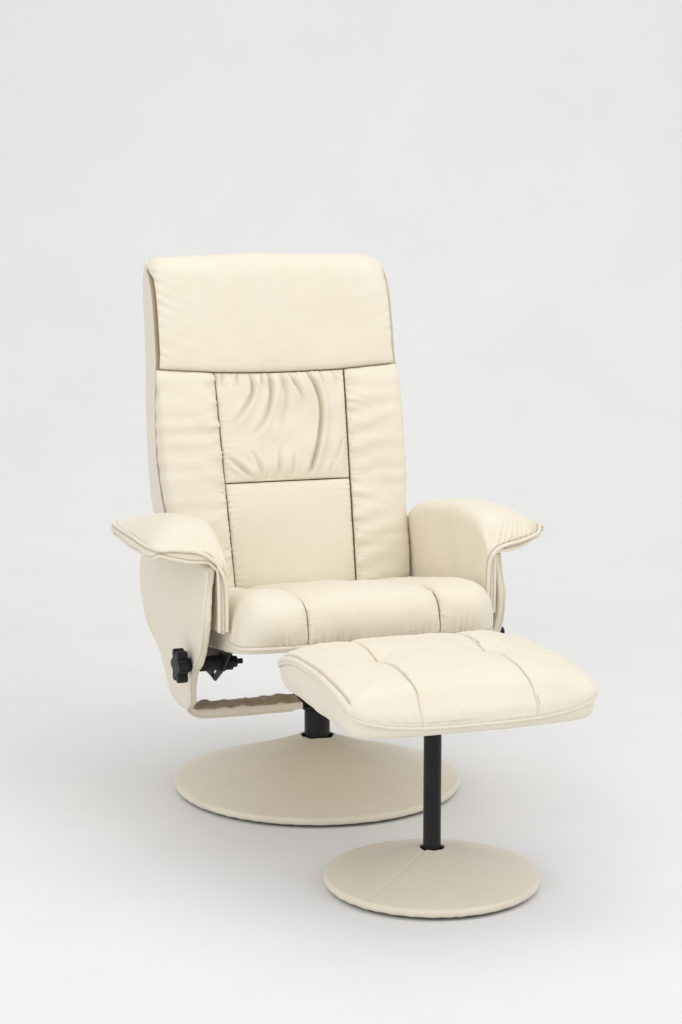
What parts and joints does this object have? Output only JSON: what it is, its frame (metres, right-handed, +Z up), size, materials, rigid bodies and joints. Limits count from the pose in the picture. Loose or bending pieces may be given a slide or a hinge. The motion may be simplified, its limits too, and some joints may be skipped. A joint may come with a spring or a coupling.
{
  "type": "swivel recliner with footstool",
  "caption": "Cream upholstered swivel recliner on a round disc base, with padded wing armrests, star clamp knobs and a matching footstool on a post.",
  "frame": {"origin": "on the floor under the middle of the whole set, chair and footstool together", "axes": "+Z up, the chair faces -Y towards its footstool, +X to the right seen from in front"},
  "size_m": [0.7786, 1.2087, 1.036],
  "materials": {
    "cream_leather": "soft cream synthetic leather with a fine grain and a low sheen",
    "black_steel": "satin black powder coat",
    "bright_steel": "zinc plated",
    "black_plastic": "moulded black plastic",
    "brass": "turned",
    "plywood": "raw birch plywood"
  },
  "bodies": {
    "base": {"base_cover": "cream_leather", "base_plate": "black_steel", "base_glides": "black_plastic", "base_post": "black_steel", "base_flange_bolts": "bright_steel", "swivel_bush": "black_plastic", "thrust_washer": "black_plastic"},
    "frame": {"swivel_spindle": "bright_steel", "retaining_ring": "bright_steel", "swivel_plate": "black_steel", "crossbar": "black_steel", "clamp_plate": "black_steel", "crossbar_bolts": "bright_steel", "left_side_frame": "cream_leather", "right_side_frame": "cream_leather", "left_arm_pad": "cream_leather", "right_arm_pad": "cream_leather", "arm_bolts": "bright_steel", "pivot_bolts": "bright_steel", "pivot_sleeves": "bright_steel", "clamp_bolts": "bright_steel", "friction_washers": "black_plastic", "clamp_sleeves": "black_plastic", "clamp_blocks": "black_plastic", "lock_nuts": "bright_steel"},
    "back": {"back_shell": "cream_leather", "back_board": "plywood", "head_pad": "cream_leather", "left_back_bolster": "cream_leather", "right_back_bolster": "cream_leather", "upper_back_pad": "cream_leather", "lower_back_pad": "cream_leather", "left_back_bracket": "black_steel", "right_back_bracket": "black_steel", "bracket_screws": "bright_steel"},
    "seat": {"seat_pan": "cream_leather", "seat_board": "plywood", "seat_cushion": "cream_leather", "left_seat_rail": "black_steel", "right_seat_rail": "black_steel", "rail_screws": "bright_steel", "hinge_pins": "bright_steel"},
    "knob_left": {"left_knob": "black_plastic", "left_knob_insert": "brass"},
    "knob_right": {"right_knob": "black_plastic", "right_knob_insert": "brass"},
    "footstool": {"stool_base_cover": "cream_leather", "stool_base_plate": "black_steel", "stool_glides": "black_plastic", "stool_post": "black_steel", "stool_flange_bolts": "bright_steel", "stool_plate": "black_steel", "stool_board": "plywood", "stool_screws": "bright_steel", "stool_pan": "cream_leather", "stool_cushion": "cream_leather"}
  },
  "joints": [
    {"name": "swivel", "type": "hinge", "parent": "base", "child": "frame", "pos_m": [0, 0.2065, 0.154], "axis": [0, 0, 1], "continuous": true},
    {"name": "recline", "type": "hinge", "parent": "frame", "child": "back", "pos_m": [0, 0.4185, 0.455], "axis": [-1, 0, 0], "range_deg": [0, 28]},
    {"name": "seat_hinge", "type": "hinge", "parent": "back", "child": "seat", "pos_m": [0, 0.4065, 0.35], "axis": [-1, 0, 0], "range_deg": [-25.2, 0]},
    {"name": "left_knob_turn", "type": "hinge", "parent": "frame", "child": "knob_left", "pos_m": [-0.305, 0.0565, 0.3], "axis": [-1, 0, 0], "range_deg": [0, 270]},
    {"name": "right_knob_turn", "type": "hinge", "parent": "frame", "child": "knob_right", "pos_m": [0.305, 0.0565, 0.3], "axis": [1, 0, 0], "range_deg": [0, 270]},
    {"name": "footstool_pull", "type": "slide", "parent": "base", "child": "footstool", "axis": [0, -1, 0], "range_m": [0, 0.35]}
  ],
  "couplings": [
    {"joint": "seat_hinge", "follows": "recline", "ratio": -0.9}
  ]
}
